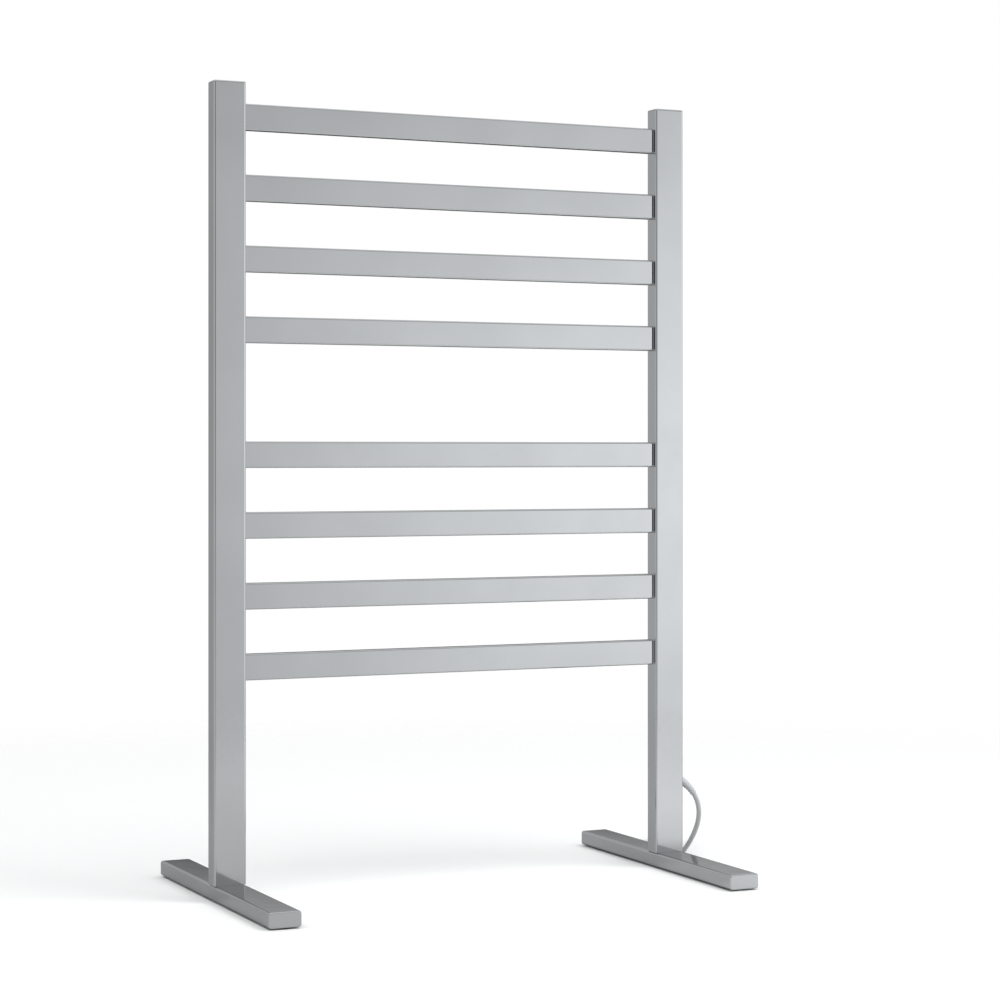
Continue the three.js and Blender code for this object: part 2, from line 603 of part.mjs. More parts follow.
const cordLength = cordLine.getLength();
const freeRun = {
  from: reliefShare + TOUCH / cordLength,
  to: 1 - HANK_APPROACH / cordLength,
};
const CORD_STEPS = 14;
const pointOnRun = (share) =>
  cordLine.getPointAt(freeRun.from + (freeRun.to - freeRun.from) * share);
const runPoints = 4 * CORD_STEPS;
const cordPoints = Array.from({ length: runPoints + 1 }, (_, i) => pointOnRun(i / runPoints));
const TAIL_STEPS = 5;
const cordTube = (points, steps) => tubeAlong(points, CORD_RADIUS, steps, 5);
add("mains_cord", cordTube(cordPoints, CORD_STEPS), greyVinyl());

// ---- The rest of the cord, folded into a tied hank behind the right foot ----------------------
// Each side of the hank bends in from its end folds to a narrow waist, all in arcs that meet
// smoothly.
const waistRadius =
  ((HANK_FOLD_SPACING / 2) ** 2 + HANK_WAIST ** 2 - HANK_FOLD_RADIUS ** 2) /
  (2 * (HANK_FOLD_RADIUS - HANK_WAIST));

// The outline lies `proud` outside the cord's own middle line.
function hankOutline(proud) {
  const c = HANK_FOLD_SPACING / 2;
  const r = HANK_FOLD_RADIUS;
  const lean = Math.asin(c / (r + waistRadius));
  const waistX = HANK_WAIST + waistRadius;
  const shape = new THREE.Shape();
  shape.absarc(0, c, r + proud, -lean, Math.PI + lean, false);
  shape.absarc(-waistX, 0, waistRadius - proud, lean, -lean, true);
  shape.absarc(0, -c, r + proud, Math.PI - lean, 2 * Math.PI + lean, false);
  shape.absarc(waistX, 0, waistRadius - proud, Math.PI + lean, Math.PI - lean, true);
  return shape;
}

// The band goes round both sides of the hank, where it is widest between the band's edges.
const tieReach = Math.abs(TIE_PLACE) + TIE_WIDTH / 2;
const sideAtTie = HANK_WAIST + waistRadius - Math.sqrt(waistRadius ** 2 - tieReach ** 2);
const tieWidthAcross = 2 * (sideAtTie + CORD_RADIUS + TIE_THICK);
const tieOutline = tubeSection(TIE_HEIGHT, tieWidthAcross, TIE_CORNER, TIE_THICK);
const tieStart = TIE_PLACE - TIE_WIDTH / 2;
const tie = moved(alongY(tieOutline, TIE_WIDTH), 0, tieStart, TIE_HEIGHT / 2);
// Under the band the hank is cut back to a core that clears it.
const groove = block(2 * tieWidthAcross, TIE_WIDTH + 2 * TOUCH, 3 * TIE_HEIGHT);
moved(groove, 0, TIE_PLACE, 0);
const insideWall = 2 * (TIE_THICK + TOUCH);
const core = block(tieWidthAcross - insideWall, TIE_WIDTH + 4 * TOUCH, TIE_HEIGHT - insideWall);
moved(core, 0, TIE_PLACE, TIE_HEIGHT / 2);
const hankBlock = prism(hankOutline(CORD_RADIUS), HANK_HEIGHT, 6);
const hank = toGeometry(
  toSolid(hankBlock)
    .subtract(toSolid(groove))
    .add(toSolid(hankBlock).intersect(toSolid(core))),
);
add("cord_hank", hank, greyVinyl(), hankFrame);
add("hank_tie", tie, blackPlastic(), hankFrame);
add("cord_tail", cordTube(vectors(TAIL_ROUTE), TAIL_STEPS), greyVinyl(), hankFrame);

// ---- Plug, lying on the hank ------------------------------------------------------------------
const plugMiddle = HANK_HEIGHT + TOUCH + PLUG.height / 2;

function plugBody() {
  const grip = alongY(rounded(PLUG.height, PLUG.width, PLUG.radius), PLUG.length);
  const neckLine = new THREE.LineCurve3(
    new THREE.Vector3(0, -PLUG_NECK_LENGTH, 0),
    new THREE.Vector3(0, 1, 0),
  );
  const neckTaper = (share) =>
    PLUG_NECK_RADIUS.cord + (PLUG_NECK_RADIUS.body - PLUG_NECK_RADIUS.cord) * share;
  return join(grip, taperedRod(neckLine, 0, 1, neckTaper, 12, 2));
}

const plugFrame = new THREE.Group();
plugFrame.position.set(0, PLUG_START, plugMiddle);
hankFrame.add(plugFrame);
add("plug_body", plugBody(), greyVinyl(), plugFrame);
const pinStart = PLUG.length + TOUCH;
const blade = () => alongY(rounded(BLADE.height, BLADE.width, 0.4), BLADE.length, 2);
for (const [name, place] of [["line", 1], ["neutral", -1]]) {
  const pin = add(`plug_${name}_blade`, blade(), brass(), plugFrame);
  pin.position.set((place * BLADE.spacing) / 2, pinStart, BLADE.rise);
}
const earthPin = add(
  "plug_earth_pin",
  alongY(disc(EARTH_PIN.radius), EARTH_PIN.length, ROUND),
  brass(),
  plugFrame,
);
earthPin.position.set(0, pinStart, -EARTH_PIN.drop);

export default rack;
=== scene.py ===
# The looks of the free-standing towel warmer rack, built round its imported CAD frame.
# Metres, +Z up. Every place and size comes from the frame's boxes or from the values below.
import math

import bmesh
import bpy
from mathutils import Matrix, Vector


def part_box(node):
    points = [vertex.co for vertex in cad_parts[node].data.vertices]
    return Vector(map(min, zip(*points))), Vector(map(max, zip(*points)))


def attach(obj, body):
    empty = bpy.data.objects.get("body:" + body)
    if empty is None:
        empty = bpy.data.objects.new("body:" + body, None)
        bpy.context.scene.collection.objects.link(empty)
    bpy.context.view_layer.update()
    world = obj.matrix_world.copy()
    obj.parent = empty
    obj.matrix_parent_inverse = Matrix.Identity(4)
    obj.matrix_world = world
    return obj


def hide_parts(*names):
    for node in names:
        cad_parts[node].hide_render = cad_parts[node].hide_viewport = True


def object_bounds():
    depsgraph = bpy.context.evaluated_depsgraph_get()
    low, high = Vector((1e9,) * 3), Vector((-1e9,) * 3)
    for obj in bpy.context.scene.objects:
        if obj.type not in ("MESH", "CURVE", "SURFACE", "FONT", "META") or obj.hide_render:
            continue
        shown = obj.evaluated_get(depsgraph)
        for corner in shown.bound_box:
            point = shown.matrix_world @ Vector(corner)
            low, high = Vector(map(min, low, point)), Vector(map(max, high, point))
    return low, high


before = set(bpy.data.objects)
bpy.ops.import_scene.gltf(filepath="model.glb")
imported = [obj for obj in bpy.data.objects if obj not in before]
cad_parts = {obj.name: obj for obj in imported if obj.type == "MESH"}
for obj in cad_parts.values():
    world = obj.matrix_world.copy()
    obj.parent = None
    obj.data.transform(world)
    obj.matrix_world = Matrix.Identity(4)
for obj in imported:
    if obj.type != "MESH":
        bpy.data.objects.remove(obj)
cad_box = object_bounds()
MM = 0.001

# ---- The CAD source's values that the pieces here share, in millimetres -------------------------
UPRIGHT_RADIUS = 2.5
UPRIGHT_WALL = 1.5
BAR_RADIUS = 2
BAR_WALL = 1
FOOT_RADIUS = 3
FOOT_WALL = 2
PAD_RADIUS = 3
BOLT = {"radius": 3, "head_radius": 5, "head_height": 6, "socket_radius": 2.9, "socket_depth": 3}
BOLT_HOLE_RADIUS = 3.3
BOLT_ACCESS_RADIUS = 6.5
FIT = 0.25
TOUCH = 0.3

CORD_RADIUS = 3
CORD_LIFT = 0.05
GLAND_HEIGHT = 105.3
GLAND_FLANGE_RADIUS = 7
GLAND_BODY_RADIUS = 5
RELIEF_LENGTH = 32
RELIEF_BASE_RADIUS = 5.2
RELIEF_TIP_RADIUS = 3.7
# x from the right upright's outer face, y from its middle, z from the floor
CORD_ROUTE = [
    (-4, 0, 107.6), (1.6, 0, 104.6), (7, 0.1, 101.3), (12.9, 0.3, 96.4), (18.6, 0.7, 90.3),
    (23.8, 1.4, 83.1), (28, 2.8, 75), (30.9, 5, 66.2), (32.6, 8.2, 57),
    (33.2, 12.6, 47.7), (33.1, 17.6, 39.2), (32.7, 23.3, 31.1), (32.4, 29.8, 23.5),
    (32.3, 37, 16.8), (32.9, 44.8, 11.1), (34.5, 53.3, 6.8), (37.3, 62.4, 4),
]
# across, along and up in the hank's own frame
TAIL_ROUTE = [
    (18, -45.2, 31.5), (17, -37.4, 31.9), (14, -30.2, 32.9), (9, -23.8, 34.5), (4, -17.4, 36.2),
    (1, -10.2, 37.7), (0, -2.4, 38.3),
]
HANK_TURN = 28.8
HANK_OUT = 47.75
HANK_REAR = 120.05
HANK_FOLD_SPACING = 90
HANK_FOLD_RADIUS = 18
HANK_WAIST = 3.2
HANK_TURNS = 4
HANK_LAYER = 6.1
TIE_PLACE = -12
TIE_WIDTH = 10
TIE_THICK = 1.2
TIE_HEIGHT = 29.4
PLUG = {"width": 26, "height": 20, "length": 38, "radius": 6, "start": 20, "up": 38.3}
PLUG_NECK = {"length": 22, "body": 7.5, "cord": 4}
BLADE = {"width": 1.5, "height": 6.3, "length": 17, "spacing": 12.7, "rise": 3}
EARTH_PIN = {"radius": 2.4, "length": 19, "drop": 5.5}
ROCKER = {"radius": 8.8, "ridge": 3.2, "rise": 1.2, "underside": 3, "width": 9.9, "tilt": 8}
TRUNNION = {"radius": 1.2, "length": 12.6}
ROCKER_PIVOT_DEPTH = 1
SWITCH_HEIGHT = 153
SWITCH_BODY = {"width": 13.4, "height": 21.4}
SWITCH_BEZEL_RADIUS = 1.5
SWITCH_POCKET = {"width": 10.6, "height": 18.3, "depth": 6.5}

# ---- Places taken from the frame ----------------------------------------------------------------
right_low, right_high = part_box("right_upright")
OUTER_FACE = Vector((right_high.x, (right_low.y + right_high.y) / 2, 0))


# ---- Camera -------------------------------------------------------------------------------------
LENS = 90.7
LENS_SHIFT = -0.0459
CAMERA_PLACE = (-1.2042, -2.7015, 0.5034)
CAMERA_TURN = 25.05  # degrees to the right of straight towards the rear


def make_camera():
    data = bpy.data.cameras.new("camera")
    data.lens = LENS
    data.shift_y = LENS_SHIFT
    camera = bpy.data.objects.new("camera", data)
    camera.location = CAMERA_PLACE
    camera.rotation_euler = (math.radians(90), 0, math.radians(-CAMERA_TURN))
    bpy.context.scene.collection.objects.link(camera)
    bpy.context.scene.camera = camera


# ---- Lines --------------------------------------------------------------------------------------
def smooth_line(stops, before=None, after=None, step=2 * MM):
    """Points about a step apart on the centripetal Catmull-Rom curve through the stops."""
    before = before or stops[0] * 2 - stops[1]
    after = after or stops[-1] * 2 - stops[-2]
    guide = [before, *stops, after]
    points = []
    for p0, p1, p2, p3 in zip(guide, guide[1:], guide[2:], guide[3:]):
        d0, d1, d2 = ((b - a).length ** 0.5 for a, b in ((p0, p1), (p1, p2), (p2, p3)))
        m1 = ((p1 - p0) / d0 - (p2 - p0) / (d0 + d1) + (p2 - p1) / d1) * d1
        m2 = ((p2 - p1) / d1 - (p3 - p1) / (d1 + d2) + (p3 - p2) / d2) * d1
        pieces = max(2, round((p2 - p1).length / step))
        for i in range(pieces):
            t = i / pieces
            points.append(
                p1 * (2 * t**3 - 3 * t**2 + 1) + m1 * (t**3 - 2 * t**2 + t)
                + p2 * (3 * t**2 - 2 * t**3) + m2 * (t**3 - t**2)
            )
    return points + [stops[-1].copy()]


HANK_FRAME = Matrix.Translation(
    OUTER_FACE + Vector((HANK_OUT, HANK_REAR, 0)) * MM
) @ Matrix.Rotation(math.radians(-HANK_TURN), 4, "Z")


def in_hank(across, along, up):
    return HANK_FRAME @ (Vector((across, along, up)) * MM)


def hank_turn(step=2.4):
    """One turn of the hank, as (across, along, share of the turn) in mm, from beside its near fold."""
    reach, fold, side = HANK_FOLD_SPACING / 2, HANK_FOLD_RADIUS, HANK_WAIST
    waist = (reach * reach + side * side - fold * fold) / (2 * (fold - side))
    lean = math.asin(reach / (fold + waist))
    arcs = [
        # the middle across and along, the radius, the angles it starts and ends at
        (0, -reach, fold, 0, lean),
        (side + waist, 0, waist, math.pi + lean, math.pi - lean),
        (0, reach, fold, -lean, math.pi + lean),
        (-side - waist, 0, waist, lean, -lean),
        (0, -reach, fold, math.pi - lean, 2 * math.pi),
    ]
    whole = sum(radius * abs(end - start) for _, _, radius, start, end in arcs)
    made, run = [], 0
    for x, y, radius, start, end in arcs:
        length = radius * abs(end - start)
        pieces = round(length / step)
        for i in range(pieces):
            angle = start + (end - start) * i / pieces
            place = (x + radius * math.cos(angle), y + radius * math.sin(angle))
            made.append((*place, (run + length * i / pieces) / whole))
        run += length
    return made


def soft_step(x):
    x = min(1, max(0, x))
    return x * x * (3 - 2 * x)


def cord_line():
    """The cord's centreline from its exit, down and along the floor, round the hank and to the plug."""
    floor = CORD_RADIUS + CORD_LIFT
    tail = [in_hank(*p) for p in TAIL_ROUTE]
    loop = hank_turn()
    back = next(s for _, along, s in loop if s > 0.5 and along < -HANK_FOLD_SPACING / 2)
    climb = back - 0.12  # the last turn rises from a little before it is back at its near fold
    spare = TAIL_ROUTE[0][2] - floor - HANK_LAYER * HANK_TURNS
    wound = []
    for turn in range(HANK_TURNS):
        for across, along, share in loop:
            up = floor + HANK_LAYER * (turn + share)
            if across > 0:  # this side's lowest run lies on the tie's strap
                near = 1.8 - abs(along - TIE_PLACE) / TIE_WIDTH
                up += (TIE_THICK - 0.5) * soft_step(near)
            if turn == HANK_TURNS - 1:
                up += spare * soft_step((share - climb) / (1 - climb))
            wound.append(in_hank(across, along, up))
    lead = [OUTER_FACE + Vector(p) * MM for p in CORD_ROUTE[1:]]
    inside = OUTER_FACE + Vector(CORD_ROUTE[0]) * MM
    points = smooth_line([*lead, wound[0]], before=inside, after=wound[3])[:-1]
    points += wound
    points += smooth_line(tail, before=wound[-3])
    return points


# ---- Materials ----------------------------------------------------------------------------------
STEEL = (0.5, 0.51, 0.52)


class Paint:
    """A node-based material, with its Principled shader and helpers to feed it."""

    def __init__(self, name, color, roughness, metallic=0.0, **sockets):
        self.material = bpy.data.materials.new(name)
        self.material.use_nodes = True
        self.tree = self.material.node_tree
        self.shader = self.tree.nodes["Principled BSDF"]
        self.set("Base Color", (*color, 1))
        self.set("Roughness", roughness)
        self.set("Metallic", metallic)
        for socket, value in sockets.items():
            self.set(socket.replace("_", " "), value)

    def set(self, socket, value):
        self.shader.inputs[socket].default_value = value

    def node(self, kind, **inputs):
        made = self.tree.nodes.new(kind)
        for name, value in inputs.items():
            self.feed(made.inputs[name.replace("_", " ")], value)
        return made

    def feed(self, socket, value):
        if isinstance(value, bpy.types.NodeSocket):
            self.tree.links.new(value, socket)
        else:
            socket.default_value = value

    def place(self):
        return self.node("ShaderNodeTexCoord").outputs["Object"]

    def noise(self, scale, detail):
        made = self.node("ShaderNodeTexNoise", Vector=self.place(), Scale=scale, Detail=detail)
        return made.outputs["Fac"]

    def spread(self, value, low, high, start=0.3, end=0.7):
        made = self.node("ShaderNodeMapRange", Value=value)
        for name, number in (("From Min", start), ("From Max", end), ("To Min", low), ("To Max", high)):
            made.inputs[name].default_value = number
        return made.outputs[0]

    def tint(self, value, low, high, start=0.3, end=0.7):
        ramp = self.node("ShaderNodeValToRGB", Fac=value)
        first, last = ramp.color_ramp.elements
        first.position, first.color = start, (*low, 1)
        last.position, last.color = end, (*high, 1)
        self.feed(self.shader.inputs["Base Color"], ramp.outputs[0])

    def rough(self, value):
        self.feed(self.shader.inputs["Roughness"], value)

    def bump(self, *layers):
        """Each layer is (height, depth in metres)."""
        normal = None
        for height, depth in layers:
            made = self.node("ShaderNodeBump", Height=height, Distance=depth)
            if normal:
                self.feed(made.inputs["Normal"], normal)
            normal = made.outputs[0]
        self.feed(self.shader.inputs["Normal"], normal)


def polished_steel():
    p = Paint("polished_steel", STEEL, 0.12, 1, Specular_Tint=(0.7, 0.7, 0.7, 1))
    p.tint(p.noise(9, 3), [0.96 * c for c in STEEL], [1.03 * c for c in STEEL])
    p.rough(p.spread(p.noise(60, 4), 0.06, 0.11))
    p.bump((p.noise(14, 1), 0.00005), (p.noise(900, 2), 0.0000012))
    return p.material


def grained(name, color, roughness, grain, depth, clouds, metallic=0.0):
    """A moulded or plated finish: faint clouds of colour, uneven gloss and a fine grain.

    `grain` and `depth` are the grain's scale and its depth in metres; `clouds` is the share of
    the colour that is left where a cloud is darkest.
    """
    p = Paint(name, color, roughness, metallic)
    p.tint(p.noise(60, 3), [clouds * c for c in color], color)
    p.rough(p.spread(p.noise(220, 3), roughness - 0.07, roughness + 0.08))
    p.bump((p.noise(grain, 2), depth))
    return p.material


def hook_and_loop():
    """A woven strap: a fine diagonal pile with uneven gloss."""
    p = Paint("hank_strap", (0.03, 0.03, 0.032), 0.85, 0, Sheen_Weight=0.35, Sheen_Roughness=0.5)
    pile = p.noise(2600, 2)
    weave = p.node("ShaderNodeTexWave", Vector=p.place(), Scale=420.0, Distortion=1.5)
    p.tint(pile, (0.018, 0.018, 0.02), (0.06, 0.06, 0.064))
    p.bump((weave.outputs["Fac"], 0.00012), (pile, 0.00015))
    return p.material


# ---- Mesh work ----------------------------------------------------------------------------------
def rounded(width, height, radius, steps=6):
    """A rounded rectangle's points, anticlockwise round its middle."""
    points = []
    for quarter, (sx, sy) in enumerate(((1, 1), (-1, 1), (-1, -1), (1, -1))):
        for i in range(steps + 1):
            angle = (quarter + i / steps) * math.pi / 2
            points.append((
                sx * (width / 2 - radius) + radius * math.cos(angle),
                sy * (height / 2 - radius) + radius * math.sin(angle),
            ))
    return points


def circle(radius, steps=32):
    turn = 2 * math.pi / steps
    return [(radius * math.cos(i * turn), radius * math.sin(i * turn)) for i in range(steps)]


def rectangle_levels(width, height, radius, levels, steps=6):
    """A rounded rectangle's loops, one for each (inset, along) level."""
    return [
        [(u, v, along) for u, v in rounded(
            width - 2 * inset, height - 2 * inset, max(radius - inset, 0.05), steps)]
        for inset, along in levels
    ]


def soft_start(start, edge, steps=4):
    """Levels (inset, along) of an edge rounded where a prism starts; `edge` is its radius."""
    turn = math.pi / 2 / steps
    return [
        (edge * (1 - math.sin(i * turn)), start + edge * (1 - math.cos(i * turn)))
        for i in range(steps + 1)
    ]


def soft_end(end, edge, steps=4):
    """The same edge where the prism ends."""
    return [(inset, 2 * end - along) for inset, along in reversed(soft_start(end, edge, steps))]


def lathe_loops(profile, steps=32):
    """Round loops for a profile of (radius, along)."""
    return [[(u, v, along) for u, v in circle(radius, steps)] for radius, along in profile]


def loft(loops, ring=False):
    """A closed mesh through loops. A ring also joins the last loop to the first."""
    bm = bmesh.new()
    rows = [[bm.verts.new(p) for p in loop] for loop in loops]
    pairs = list(zip(rows, rows[1:]))
    if ring:
        pairs.append((rows[-1], rows[0]))
    else:
        bm.faces.new(rows[0])
        bm.faces.new(rows[-1])
    for a, b in pairs:
        for i in range(len(a)):
            k = (i + 1) % len(a)
            bm.faces.new((a[i], a[k], b[k], b[i]))
    bmesh.ops.recalc_face_normals(bm, faces=bm.faces)
    return bm


def merged(*parts):
    """One mesh of several closed ones."""
    whole = parts[0]
    for part in parts[1:]:
        mesh = bpy.data.meshes.new("part")
        part.to_mesh(mesh)
        whole.from_mesh(mesh)
        bpy.data.meshes.remove(mesh)
        part.free()
    return whole


def laid(bm, along, origin=(0, 0, 0)):
    """Turns a mesh made as (u, v, along) so that its length runs along an axis, and moves it in mm."""
    axes = {
        "X": ((0, 0, 1), (1, 0, 0), (0, 1, 0)),
        "Y": ((1, 0, 0), (0, 0, 1), (0, 1, 0)),
        "Z": ((1, 0, 0), (0, 1, 0), (0, 0, 1)),
    }
    turn = Matrix(axes[along]).to_4x4()
    bmesh.ops.transform(bm, matrix=Matrix.Translation(origin) @ turn, verts=bm.verts)
    if turn.determinant() < 0:
        bmesh.ops.reverse_faces(bm, faces=bm.faces)
    return bm


def cut(bm, *tools):
    """The mesh less the tools, by an exact boolean."""
    objects = []
    for part in (bm, merged(*tools)):
        mesh = bpy.data.meshes.new("part")
        part.to_mesh(mesh)
        part.free()
        objects.append(bpy.data.objects.new("part", mesh))
        bpy.context.scene.collection.objects.link(objects[-1])
    body, tool = objects
    modifier = body.modifiers.new("cut", "BOOLEAN")
    modifier.object = tool
    modifier.solver = "EXACT"
    mesh = bpy.data.meshes.new_from_object(
        body.evaluated_get(bpy.context.evaluated_depsgraph_get())
    )
    made = bmesh.new()
    made.from_mesh(mesh)
    for item in (body, tool):
        old = item.data
        bpy.data.objects.remove(item)
        bpy.data.meshes.remove(old)
    bpy.data.meshes.remove(mesh)
    return made


def piece(name, bm, finish, stands_for=(), body="rack", bevel=0, matrix=None):
    """A finished piece from a mesh in millimetres."""
    place = (matrix or Matrix.Identity(4)) @ Matrix.Scale(MM, 4)
    bmesh.ops.transform(bm, matrix=place, verts=bm.verts)
    mesh = bpy.data.meshes.new(name)
    bm.to_mesh(mesh)
    bm.free()
    mesh.shade_smooth()
    mesh.set_sharp_from_angle(angle=math.radians(35))
    mesh.materials.append(finish)
    made = bpy.data.objects.new(name, mesh)
    bpy.context.scene.collection.objects.link(made)
    if bevel:
        edges = made.modifiers.new("soft_edges", "BEVEL")
        edges.width = bevel * MM
        edges.segments = 3
        edges.limit_method = "ANGLE"
        edges.angle_limit = math.radians(30)
        edges.harden_normals = True
    normals = made.modifiers.new("flat_faces", "WEIGHTED_NORMAL")
    normals.keep_sharp = True
    normals.weight = 100
    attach(made, body)
    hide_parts(*stands_for)
    return made


def size_mm(node):
    """A node's lowest corner, highest corner and middle in millimetres."""
    low, high = (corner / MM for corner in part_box(node))
    return low, high, (low + high) / 2


# ---- The mains cord -----------------------------------------------------------------------------
def make_cord(finish):
    points = cord_line()
    data = bpy.data.curves.new("mains_cord_line", "CURVE")
    data.dimensions = "3D"
    data.bevel_depth = CORD_RADIUS * MM
    data.bevel_resolution = 5
    data.use_fill_caps = True
    spline = data.splines.new("POLY")
    spline.points.add(len(points) - 1)
    for stop, place in zip(spline.points, points):
        stop.co = (*place, 1)
    data.materials.append(finish)
    cord = bpy.data.objects.new("mains_cord_whole", data)
    bpy.context.scene.collection.objects.link(cord)
    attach(cord, "rack")
    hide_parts("mains_cord", "cord_hank", "cord_tail")
    return cord, points


# ---- Stage --------------------------------------------------------------------------------------
FLOOR_EDGE = 2.2  # half its side, metres
FLOOR_FADE = (0.7, 1.9)  # it fades into the white between these distances from the middle
FLOOR_TONE = 0.88  # as the camera sees it
FLOOR_SHADE_IN_FRONT = (0.6, 0.95)  # painted light and shade: the floor's tone as the steel mirrors it, darker front left and lighter front right
FLOOR_SHADE_IN_FRONT_X = (-0.1, 0.6)
FLOOR_SHADE_BEHIND = 0.53  # painted shade: the floor's darker tone as the steel mirrors it, the rest, behind the rack
FLOOR_SHADE_BEHIND_Y = (-0.21, -0.12)  # where the front's tone gives way to it
STUDIO_TINT = (0.985, 0.995, 1.0, 1)
WALLS = 0.72  # the studio's even brightness, where no card is
# Soft cards: turn from the front towards the right, height, full within, gone beyond (all in
# degrees) and brightness. A later card covers the earlier ones.
CARDS = [
    (54, 5, 19, 40, 1.5),
    (26, 34, 12, 35, 0.55),
    (45, -34, 14, 37, 0.6),
    (180, 0, 20, 50, 0.68),
    (172, 0, 7, 16, 0.34),
    (165, -50, 57.6, 61.2, 0.06),
    (-164, 0, 6, 14, 0.58),
    (-147, -3, 9, 16, 0.64),
    (-27, 8, 7, 18, 0.12),
    (0, 90, 25, 55, 1.1),
]


def direction(turn, height):
    turn, height = math.radians(turn), math.radians(height)
    flat = math.cos(height)
    return (flat * math.sin(turn), -flat * math.cos(turn), math.sin(height))


def make_world():
    """White to the camera; the steel mirrors soft cards round it, as in a photographer's tent."""
    world = bpy.data.worlds.new("studio")
    bpy.context.scene.world = world
    world.use_nodes = True
    nodes, links = world.node_tree.nodes, world.node_tree.links
    where = nodes.new("ShaderNodeTexCoord").outputs["Generated"]
    bright = WALLS
    for turn, height, full, gone, level in CARDS:
        toward = nodes.new("ShaderNodeVectorMath")
        toward.operation = "DOT_PRODUCT"
        links.new(where, toward.inputs[0])
        toward.inputs[1].default_value = direction(turn, height)
        card = nodes.new("ShaderNodeMapRange")
        card.interpolation_type = "SMOOTHSTEP"
        links.new(toward.outputs["Value"], card.inputs["Value"])
        card.inputs["From Min"].default_value = math.cos(math.radians(gone))
        card.inputs["From Max"].default_value = math.cos(math.radians(full))
        mix = nodes.new("ShaderNodeMix")
        links.new(card.outputs[0], mix.inputs["Factor"])
        if isinstance(bright, float):
            mix.inputs["A"].default_value = bright
        else:
            links.new(bright, mix.inputs["A"])
        mix.inputs["B"].default_value = level
        bright = mix.outputs["Result"]
    studio = nodes["Background"]
    studio.inputs["Color"].default_value = STUDIO_TINT
    links.new(bright, studio.inputs["Strength"])
    paper = nodes.new("ShaderNodeBackground")
    paper.inputs["Color"].default_value = (1, 1, 1, 1)
    pick = nodes.new("ShaderNodeMixShader")
    links.new(nodes.new("ShaderNodeLightPath").outputs["Is Camera Ray"], pick.inputs[0])
    links.new(studio.outputs[0], pick.inputs[1])
    links.new(paper.outputs[0], pick.inputs[2])
    links.new(pick.outputs[0], nodes["World Output"].inputs["Surface"])


def make_light(name, turn, height, far, size, power):
    data = bpy.data.lights.new(name, "AREA")
    data.shape = "DISK"
    data.size = size
    data.energy = power
    light = bpy.data.objects.new(name, data)
    light.visible_glossy = False
    centre = (cad_box[0] + cad_box[1]) / 2
    light.location = centre + Vector(direction(turn, height)) * far
    light.rotation_euler = (centre - light.location).to_track_quat("-Z", "Y").to_euler()
    bpy.context.scene.collection.objects.link(light)


def make_floor():
    """Pale paper that fades into the white round it; what the steel mirrors of it has painted shade,
    darker behind and to the front left.
    """
    e = FLOOR_EDGE
    mesh = bpy.data.meshes.new("floor")
    mesh.from_pydata([(-e, -e, 0), (e, -e, 0), (e, e, 0), (-e, e, 0)], [], [(0, 1, 2, 3)])
    floor = bpy.data.objects.new("floor", mesh)
    p = Paint("floor_paper", (FLOOR_TONE,) * 3, 0.9)
    far = p.node("ShaderNodeVectorMath")
    far.operation = "LENGTH"
    p.feed(far.inputs[0], p.place())
    fade = p.spread(far.outputs["Value"], 0, 1, *FLOOR_FADE)
    # Painted shade: all rays but the camera's see a darker floor behind the rack and towards the front
    # left, in place of the shadow and falloff there.
    across = p.node("ShaderNodeSeparateXYZ", Vector=p.place())
    front = p.spread(across.outputs["X"], *FLOOR_SHADE_IN_FRONT, *FLOOR_SHADE_IN_FRONT_X)
    painted_shade = p.node("ShaderNodeMix", A=front, B=FLOOR_SHADE_BEHIND)
    p.feed(painted_shade.inputs["Factor"], p.spread(across.outputs["Y"], 0, 1, *FLOOR_SHADE_BEHIND_Y))
    tone = p.node("ShaderNodeMix", A=painted_shade.outputs["Result"], B=FLOOR_TONE)
    p.feed(tone.inputs["Factor"], p.node("ShaderNodeLightPath").outputs["Is Camera Ray"])
    p.feed(p.shader.inputs["Base Color"], tone.outputs["Result"])
    clear = p.tree.nodes.new("ShaderNodeBsdfTransparent")
    mix = p.tree.nodes.new("ShaderNodeMixShader")
    p.feed(mix.inputs[0], fade)
    p.feed(mix.inputs[1], p.shader.outputs[0])
    p.feed(mix.inputs[2], clear.outputs[0])
    p.feed(p.tree.nodes["Material Output"].inputs["Surface"], mix.outputs[0])
    mesh.materials.append(p.material)
    bpy.context.scene.collection.objects.link(floor)


def make_stage():
    bpy.context.scene.view_settings.view_transform = "Standard"
    make_world()
    make_floor()
    make_light("key", turn=40, height=55, far=2.6, size=1.6, power=34)
    make_light("fill", turn=-60, height=50, far=2.6, size=1.8, power=12)


# ---- Steel frame --------------------------------------------------------------------------------
HAIRLINE = 0.12  # the small edge that shows where two steel pieces meet
BEAD = 0.25  # radius of the fillet where a bar meets an upright
BARS = [f"bar_{number}" for number in range(1, 9)]


def tube(width, height, radius, wall, start, end):
    outside = soft_start(start, HAIRLINE, 1) + soft_end(end, HAIRLINE, 1)
    bore = [(0, end), (0, start)]
    inner = rectangle_levels(width - 2 * wall, height - 2 * wall, max(radius - wall, 0.4), bore)
    return loft(rectangle_levels(width, height, radius, outside) + inner, ring=True)


